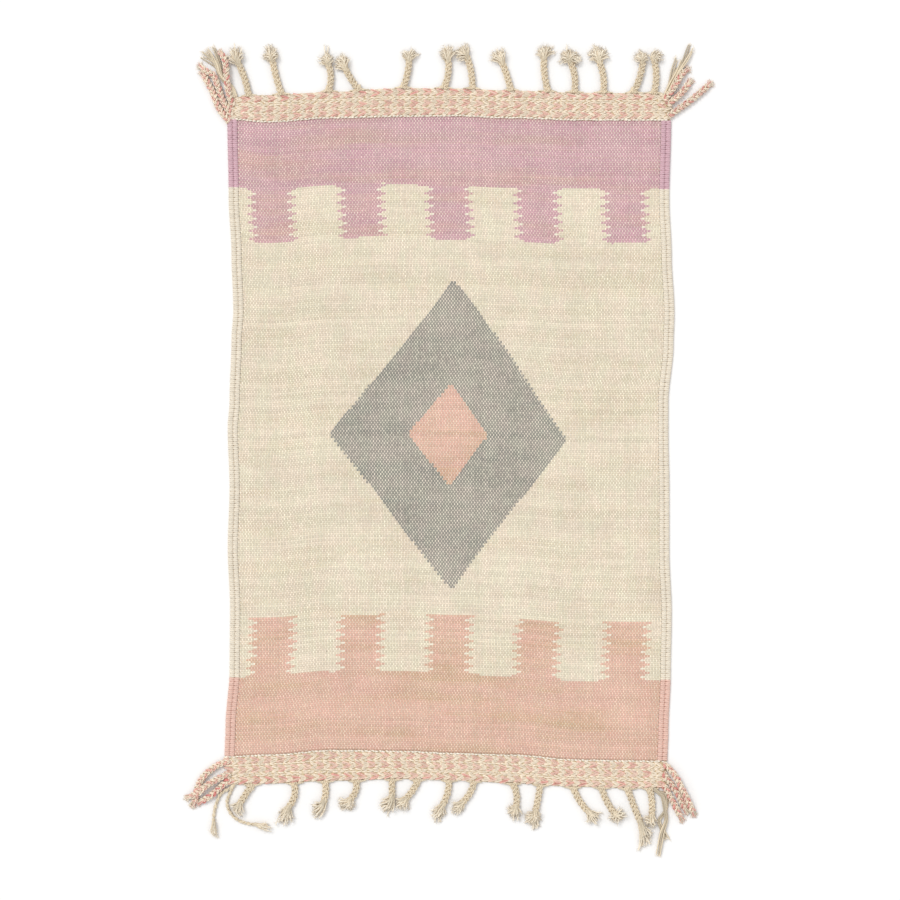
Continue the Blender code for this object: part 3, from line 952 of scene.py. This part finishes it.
def twined_stitch(hank, place, turn, reach, lanes, dyes, luck):
    """Yarns side by side that rise over some warps and dive at both ends."""
    ahead = Vector((cos(turn), sin(turn), 0.0))
    side = quarter_turn(ahead)
    for lane in lanes:
        shift, sway = luck.uniform(-0.0014, 0.0014), luck.uniform(-0.0005, 0.0005)
        lift = luck.uniform(-0.0004, 0.0005)
        path = []
        for i in range(STITCH_STEPS + 1):
            share = i / STITCH_STEPS
            hump = sin(pi * share)
            along = reach * (2 * share - 1) + shift
            across = lane * (0.45 + 0.55 * hump) + sway * hump
            rise = STITCH_LOW + (STITCH_CROWN - STITCH_LOW + lift) * hump**0.7
            path.append(place + ahead * along + side * across + up(rise))
        thick = STITCH_YARN * luck.uniform(0.90, 1.12)
        hank.lay_by_luck(path, thick, luck.choice(dyes), (0.92, 1.06), luck)


def band_place(edges, end, x, share):
    """Where a share of a band's depth lies along the warp, at a place across."""
    inner, outer = eased(edges, x, "inner"), eased(edges, x, "outer")
    return end * (inner + (outer - inner) * share)


def band_slope(edges, end, x, share):
    """The direction of a band's row at a place across, in radians."""
    step = 0.01
    rise = band_place(edges, end, x + step, share) - band_place(edges, end, x - step, share)
    return atan2(rise, 2 * step)


def band_ground(name, edges, end):
    """The closed cloth strip that the twining is worked on."""
    points = []
    for row in range(GROUND_ROWS + 1):
        share = row / GROUND_ROWS
        left, right = cloth_sides(end * (SEAM_ALONG + BAND_DEPTH * share))
        left, right = left + 0.002, right - 0.002
        bulge = sin(pi * min(1.0, 6 * min(share, 1 - share) + 0.25) / 2)
        for column in range(GROUND_COLUMNS + 1):
            x = left + (right - left) * column / GROUND_COLUMNS
            y = band_place(edges, end, x, share * 0.985)
            points.append((x, y, GROUND_EDGE + GROUND_BULGE * bulge))
    return closed_sheet(name, points, GROUND_COLUMNS + 1, BAND_GROUND_SHADED_WOOL, end < 0)[0]


def twined_rows(name, edges, end):
    """All stitches of one band: chevrons in two colours, and cream lines between them."""
    luck = random.Random(100 + end)
    hank = Hank()
    bundle = [(yarn - (STITCH_YARNS - 1) / 2) * STITCH_SPREAD for yarn in range(STITCH_YARNS)]
    pair = [-LINE_SPREAD / 2, LINE_SPREAD / 2]
    for row in BAND_ROWS:
        left, right = cloth_sides(end * (SEAM_ALONG + BAND_DEPTH * row.middle))
        cream = [mixed(BAND_CREAM, STITCH_WHITE, row.pale)]
        if row.kind == "line":
            x = left + 0.005
            while x < right - 0.004:
                y = band_place(edges, end, x, row.middle) + luck.uniform(-0.0005, 0.0005)
                lean = radians((row.lean + luck.uniform(-8, 8)) * end)
                turn = band_slope(edges, end, x, row.middle) + lean
                reach = LINE_REACH * row.reach * luck.uniform(0.88, 1.08)
                twined_stitch(hank, Vector((x, y, 0.0)), turn, reach, pair, cream, luck)
                x += LINE_PITCH * max(1.0, row.reach) * luck.uniform(0.92, 1.08)
            continue
        deep = mixed(BAND_BLUSH, BRAID_BLUSH, 0.35 if row.middle < 0.8 else 0.72)
        blush = [BAND_BLUSH, BAND_BLUSH, mixed(BAND_BLUSH, BAND_CREAM, 0.3), deep]
        for half in (-1, 1):
            x, count = left + 0.008, 0
            while x < right - 0.006:
                share = row.middle + half * row.half
                y = band_place(edges, end, x, share) + luck.uniform(-0.0006, 0.0006)
                slant = -half * end * radians(row.lean + luck.uniform(-7, 7))
                turn = band_slope(edges, end, x, share) + slant
                near_end = min(x - left, right - x) < 0.028
                pink = count % 2 == 0 and not (near_end and luck.random() < 0.6)
                reach = STITCH_REACH * row.reach * (1.12 if pink else 0.96) * luck.uniform(0.93, 1.07)
                dyes = blush if pink else cream
                twined_stitch(hank, Vector((x, y, 0.0)), turn, reach, bundle, dyes, luck)
                x += STITCH_PITCH * luck.uniform(0.96, 1.04)
                count += 1
    return hank.spin(name, TWINED_WOOL, 5)


# The fringe


def bowed(start, pull, end, pieces):
    """Points from start to end on a curve that bows towards pull."""
    shares = [i / pieces for i in range(pieces + 1)]
    return [start * (1 - t) ** 2 + pull * 2 * t * (1 - t) + end * t**2 for t in shares]


def curve_through(a, b, c, pieces, step):
    """Points every step or so along the smooth curve through a, b and c, with b halfway."""
    return evenly(bowed(a, 2 * b - (a + c) / 2, c, pieces), step)


def evenly(points, step):
    """The same route with a point every step or so."""
    lengths = runs(points)
    count = max(3, round(lengths[-1] / step))
    route, i = [], 0
    for k in range(count + 1):
        goal = lengths[-1] * k / count
        while i < len(lengths) - 2 and lengths[i + 1] < goal:
            i += 1
        span = lengths[i + 1] - lengths[i]
        share = (goal - lengths[i]) / span if span else 0.0
        route.append(points[i].lerp(points[i + 1], share))
    return route


def sideways(route, i):
    """The level direction to the side of a route at one of its points."""
    ahead = route[min(i + 1, len(route) - 1)] - route[max(i - 1, 0)]
    return quarter_turn(ahead).normalized()


def scattered(yarn, yarns, bundle):
    """How far from the middle of a bundle one of its yarns lies, so that they fill it evenly."""
    return sqrt((yarn + 0.5) / yarns) * bundle


def plait(hank, route, size, dyes, luck):
    """Three strands of three yarns plaited along a route over the floor."""
    phase = luck.uniform(0, 2 * pi)
    # A dark core yarn under the strands: painted shade that shows in the gaps between them
    core = [point + up(PLAIT_MIDDLE * size - PLAIT_CORE_DROP) for point in route]
    hank.lay(core, PLAIT_CORE * size, GAP_PAINTED_SHADE)
    along = runs(route)
    for strand in range(PLAIT_STRANDS):
        for yarn in range(PLAIT_YARNS):
            path = []
            for i, point in enumerate(route):
                turn = phase + 2 * pi * (along[i] / (PLAIT_TURN * size) + strand / PLAIT_STRANDS)
                twist = 2 * pi * (yarn / PLAIT_YARNS + along[i] / STRAND_TWIST)
                across = PLAIT_SIDE * sin(turn) + BUNDLE * cos(twist)
                rise = PLAIT_RISE * sin(2 * turn) + BUNDLE * 0.8 * sin(twist)
                path.append(point + sideways(route, i) * across * size + up((PLAIT_MIDDLE + rise) * size))
            dye = dyes[(strand * PLAIT_YARNS + yarn) % len(dyes)]
            hank.lay_by_luck(path, PLAIT_YARN * size, dye, (0.90, 1.06), luck)


def fray(hank, path, dye, luck):
    """Loose fibres, paler than their yarn, at its tip."""
    ahead = (path[-1] - path[-3]).normalized()
    across = quarter_turn(ahead)
    pale = mixed(dye, STITCH_WHITE, 0.45)
    for _ in range(FIBRES):
        start, reach = path[-2].lerp(path[-1], luck.uniform(0.0, 0.9)), luck.uniform(*FIBRE_REACH)
        turn, curl = luck.uniform(-0.9, 0.9), luck.uniform(-0.6, 0.6)
        away = ahead * cos(turn) + across * sin(turn)
        bent = Vector((-away.y, away.x, luck.uniform(-0.2, 0.5)))
        fibre = [start + away * reach * i / 3 + bent * reach * curl * (i / 3) ** 2 for i in range(4)]
        for point in fibre:
            point.z = max(FIBRE, point.z)
        sizes = [FIBRE * share for share in FIBRE_TAPER]
        hank.lay(fibre, sizes, pale, tone=luck.uniform(*FIBRE_TONES))


def curling_lock(hank, fluff, neck, heading, reach, yarns, dye, luck):
    """A lock of yarn ends that bends from a neck to its tip, opens out, curls and frays there."""
    pull = neck + heading * reach.length * LOCK_PULL
    centre = bowed(neck - heading * LOCK_HELD, pull, neck + reach, LOCK_STEPS)
    high = luck.uniform(*LOCK_TIP_HEIGHTS)
    bundle = LOCK_BUNDLE * sqrt(yarns / LOCK_YARNS)

    def rise_at(share):
        return NECK_HEIGHT + (high - NECK_HEIGHT) * share + LOCK_ARCH * sin(pi * share)

    if yarns > THIN_LOCK:
        # A dark core yarn among the lock's yarns: painted shade that shows in the gaps between them
        core = [centre[i] + up(rise_at(i / LOCK_STEPS) - 0.0008) for i in range(LOCK_STEPS - 1)]
        hank.lay(core, [LOCK_CORE * (1 - 0.09 * i) for i in range(len(core))], TUFT_PAINTED_SHADE)
    for yarn in range(yarns):
        out, angle = scattered(yarn, yarns, bundle), yarn * NEXT_YARN + luck.uniform(-0.3, 0.3)
        wave, ripple = luck.uniform(0, 6.28), luck.uniform(0.0003, 0.0011)
        hook = luck.uniform(-LOCK_HOOK, LOCK_HOOK)
        last = LOCK_STEPS - luck.choice((0, 0, 1, 1, 2, 3))
        base = luck.uniform(0.66, 1.00)
        path, sizes, tones, dyes = [], [], [], []
        for i in range(last + 1):
            share = i / LOCK_STEPS
            loose = 0.55 + 0.80 * sin(pi * share * 0.62)
            across = out * cos(angle + share) * loose + ripple * sin(wave + share * 11)
            across += hook * share**3
            rise = rise_at(share) + out * sin(angle + share) * loose * 0.6
            thick = LOCK_YARN * (1 - 0.35 * share**2)
            path.append(centre[i] + sideways(centre, i) * across + up(max(thick, rise)))
            sizes.append(thick)
            tones.append(base + (LOCK_TIP_TONE - base) * share**2)
            dyes.append(mixed(dye, STITCH_WHITE, LOCK_TIP_WHITE * share**2))
        hank.lay(path, sizes, dyes, luck.uniform(0, TWIST_START), tones)
        fray(fluff, path, dye, luck)


def tuft(hank, fluff, neck, heading, locks, dye, luck):
    """Locks that leave a neck for their own tips, and shorter ones between them."""
    for reach, yarns in locks:
        curling_lock(hank, fluff, neck, heading, reach * LOCK_SHARE, yarns, dye, luck)
    for (a, _), (b, yarns) in zip(locks, locks[1:]):
        between = (a + b) * SHORT_LOCK_SHARE
        curling_lock(hank, fluff, neck, heading, between, min(yarns, SHORT_LOCK_YARNS), dye, luck)


def root_yarns(hank, root, edge_at, end, luck):
    """Warps that run in along the band's edge from both sides to start a plait."""
    for k in range(ROOT_YARNS):
        spread = 2 * k / (ROOT_YARNS - 1) - 1
        x = root.x + spread * ROOT_SPREAD * luck.uniform(0.8, 1.1)
        start = Vector((x, edge_at(x) - end * (0.0020 - 0.0016 * abs(spread)), 0.0050))
        low = Vector((root.x + spread * 0.006, edge_at(root.x) + end * 0.0035, 0.0062 - 0.002 * abs(spread)))
        high = Vector((root.x + spread * 0.003, edge_at(root.x) + end * 0.0120, 0.0055))
        path = curve_through(start, low, high, 8, 0.0026)
        hank.lay_by_luck(path, ROOT_YARN, UNDYED, (0.84, 1.06), luck)


def tassels(name, rows, edges, end):
    """The plaited tassels of one end as three pieces: plaits, tufts, and the tufts' loose fibres."""
    luck = random.Random(200 + end)
    plaits, tufts, fluff = Hank(), Hank(), Hank()

    def edge_at(x):
        return band_place(edges, end, x, 1.0)

    for *places, locks in rows:
        across, middle, neck, reach = (place / PER_METRE for place in places)
        edge = edge_at(across)
        root = Vector((across, edge - end * 0.002, 0.0))
        middle = Vector((across + middle, edge + end * reach / 2, 0.0))
        neck = Vector((across + neck, edge + end * reach, 0.0))
        route = curve_through(root, middle, neck, 24, PATH_STEP)
        plait(plaits, route, 1.0, [UNDYED], luck)
        root_yarns(plaits, root, edge_at, end, luck)
        locks = [
            (Vector((right, end * out, 0.0)) / PER_METRE, yarns[0] if yarns else LOCK_YARNS)
            for right, out, *yarns in locks
        ]
        tuft(tufts, fluff, neck, (neck - route[-4]).normalized(), locks, UNDYED, luck)
    return [
        plaits.spin(name + "_plaits", WARP_YARN, 6),
        tufts.spin(name + "_tufts", WARP_YARN, 5),
        fluff.spin(name + "_fluff", WARP_YARN, 3),
    ]


def smooth_route(strand, step=PATH_STEP):
    """Points every step or so along the curve through a strand's places, lifted at its middle."""
    places = [Vector((x / PER_METRE, y / PER_METRE, 0.0)) for x, y in strand.places]
    ends = [places[0]] + places + [places[-1]]
    fine, pieces = [], 12
    for a, b, c, d in zip(ends, ends[1:], ends[2:], ends[3:]):
        for t in (i / pieces for i in range(pieces)):
            point = 2 * b + (c - a) * t + (2 * a - 5 * b + 4 * c - d) * t**2
            fine.append(0.5 * (point + (3 * b - a - 3 * c + d) * t**3))
    route = evenly(fine + places[-1:], step)
    for i, point in enumerate(route):
        share = i / (len(route) - 1)
        point.z += strand.lift / PER_METRE * sin(pi * min(1.0, share * 0.9 + 0.05))
    return route


def braid_end(hank, route, dyes, luck):
    """The short frayed yarn ends of a braid, over the last points of its route."""
    neck = route[-BRAID_TAIL - 1]
    ahead = Vector((route[-1].x - neck.x, route[-1].y - neck.y, 0.0))
    side = quarter_turn(ahead).normalized()
    for yarn in range(BRAID_ENDS):
        place, upper = 2 * (yarn + 0.5) / BRAID_ENDS - 1, yarn % 2
        reach = (1.25 - 0.4 * abs(place)) * luck.uniform(0.80, 1.10)
        spread = luck.uniform(0.8, 1.5)
        dye, path, sizes = luck.choice(dyes), [], []
        for share in (i / 5 for i in range(6)):
            across = place * BRAID_END_HALF * (0.75 + (spread - 0.75) * share)
            rise = neck.z * (1 - share) + (0.0030 + 0.0042 * upper) * (1 - 0.35 * share)
            thick = BRAID_END_YARN * (1 - 0.35 * share)
            point = neck + ahead * (reach * share - 0.25 * (1 - share)) + side * across
            path.append(Vector((point.x, point.y, max(thick, rise))))
            sizes.append(thick)
        hank.lay_by_luck(path, sizes, dye, (0.74, 1.06), luck)
        fray(hank, path, dye, luck)


def braid(hank, strand, luck):
    """A two-colour braid with a short frayed end."""
    route = smooth_route(strand)
    rosy = mixed(BAND_BLUSH, BRAID_BLUSH, luck.uniform(strand.rosy, 1.0))
    blush = mixed(BAND_BLUSH, BRAID_BLUSH, strand.rosy)
    dyes = [rosy, blush, BAND_BLUSH] + [BAND_CREAM] * 4 + [BAND_BLUSH, BAND_CREAM]
    plait(hank, route[:-BRAID_TAIL], BRAID_SIZE, dyes, luck)
    braid_end(hank, route, [BAND_CREAM, blush, BAND_CREAM, UNDYED, rosy], luck)


def lock(hank, strand, luck):
    """Loose warps that wander side by side, with frayed tips."""
    route = smooth_route(strand, 0.0036)
    for yarn in range(STRAY_YARNS):
        wave, ripple = luck.uniform(0, 6.28), luck.uniform(0.0006, 0.0016)
        stray = luck.uniform(-0.007, 0.007)
        out, angle = scattered(yarn, STRAY_YARNS, STRAY_BUNDLE), yarn * NEXT_YARN
        count = len(route) - luck.randrange(0, 4)
        path, sizes = [], []
        for i, point in enumerate(route[:count]):
            share = i / (count - 1)
            across = out * cos(angle + share * 2) + ripple * sin(wave + share * 8) + stray * share**3
            thick = STRAY_YARN * (1 - 0.35 * share**3)
            rise = 0.0045 - 0.0010 * share + out * 0.7 * sin(angle + share * 2)
            path.append(point + sideways(route, i) * across + up(max(thick, rise)))
            sizes.append(thick)
        hank.lay_by_luck(path, sizes, UNDYED, (0.58, 1.04), luck)
        fray(hank, path, UNDYED, luck)


def cord(hank, strand, luck):
    """Two bundles of warps laid round each other, with a frayed end."""
    route = smooth_route(strand)
    body, neck = route[:-CORD_TAIL], route[-CORD_TAIL - 1]
    along = runs(body)
    for ply in range(2):
        for yarn in range(2):
            path = []
            for i, point in enumerate(body):
                turn = 2 * pi * (along[i] / CORD_TURN + ply / 2)
                small = 2 * pi * (along[i] / PLY_TURN + yarn / 2)
                across = 0.0018 * sin(turn) + 0.0008 * sin(small)
                rise = 0.0036 + 0.0014 * cos(turn) + 0.0006 * cos(small)
                path.append(point + sideways(route, i) * across + up(rise))
            hank.lay_by_luck(path, CORD_YARN, UNDYED, (0.86, 1.06), luck)
    ahead = route[-1] - neck
    side = quarter_turn(ahead) * 0.16
    tips = [ahead * 0.75 - side, ahead * 1.05, ahead * 0.70 + side]
    tuft(hank, hank, neck, ahead.normalized(), [(tip, CORD_LOCK_YARNS) for tip in tips], UNDYED, luck)


def corner_strands(name, strands, end):
    """The braids of both corners as one piece, and the cords and loose locks as another."""
    luck = random.Random(300 + end)
    braids, warps = Hank(), Hank()
    for strand in strands:
        if strand.kind == "braid":
            braid(braids, strand, luck)
        elif strand.kind == "cord":
            cord(warps, strand, luck)
        else:
            lock(warps, strand, luck)
    return [
        braids.spin(name + "_braids", TWINED_WOOL, 5),
        warps.spin(name + "_locks", WARP_YARN, 6),
    ]


# The scene


def make_kilim():
    field = woven_field()
    wrap = wrap_stitch()
    sides = [selvedge("selvedge_left", -1, wrap), selvedge("selvedge_right", 1, wrap)]
    for piece in sides:
        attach(piece, "root")
    added = sides
    ends = [
        ("top", TOP_EDGES, TOP_TASSELS, TOP_CORNERS, 1),
        ("bottom", BOTTOM_EDGES, BOTTOM_TASSELS, BOTTOM_CORNERS, -1),
    ]
    for place, edges, tassel_rows, corner_rows, end in ends:
        ground = band_ground("band_ground_" + place, edges, end)
        rows = twined_rows("twined_rows_" + place, edges, end)
        plaits, tufts, fluff = tassels("tassel_" + place, tassel_rows, edges, end)
        braids, locks = corner_strands("corner_" + place, corner_rows, end)
        pieces = [ground, rows, plaits, tufts, fluff, braids, locks]
        for piece in pieces:
            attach(piece, "root")
            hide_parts("twined_end_" + place)
        added += pieces
    bpy.data.objects.remove(wrap, do_unlink=True)
    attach(field, "root")
    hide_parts("woven_field")


def floor():
    mesh = bpy.data.meshes.new("floor")
    size, depth = 20.0, -0.0004
    corners = [(-size, -size, depth), (size, -size, depth), (size, size, depth), (-size, size, depth)]
    mesh.from_pydata(corners, [], [(0, 1, 2, 3)])
    material = bpy.data.materials.new("pale_floor")
    material.use_nodes = True
    shader = material.node_tree.nodes["Principled BSDF"]
    shader.inputs["Base Color"].default_value = (0.93, 0.93, 0.93, 1.0)
    shader.inputs["Roughness"].default_value = 0.9
    mesh.materials.append(material)
    add_object("floor", mesh)


def studio():
    """A wide soft key light from the upper left, and a white room."""
    light = bpy.data.lights.new("key", "SUN")
    light.angle = radians(26)
    light.energy = 1.35
    light.color = (1.0, 0.995, 0.985)
    lamp = bpy.data.objects.new("key", light)
    lamp.rotation_euler = Vector((0.55, -0.60, -1.0)).to_track_quat("-Z", "Y").to_euler()
    bpy.context.scene.collection.objects.link(lamp)
    world = bpy.data.worlds.new("white_room")
    world.use_nodes = True
    world.node_tree.nodes["Background"].inputs["Color"].default_value = (1.0, 1.0, 1.0, 1.0)
    world.node_tree.nodes["Background"].inputs["Strength"].default_value = 0.79
    bpy.context.scene.world = world


def camera():
    """Straight down, with the kilim where the photo has it."""
    lens = bpy.data.cameras.new("camera")
    lens.lens = 85.0
    eye = bpy.data.objects.new("camera", lens)
    eye.location = (0.0022, -0.0270, 4.590)
    bpy.context.scene.collection.objects.link(eye)
    bpy.context.scene.camera = eye
    bpy.context.scene.view_settings.view_transform = "Standard"


floor()
studio()
camera()
make_kilim()
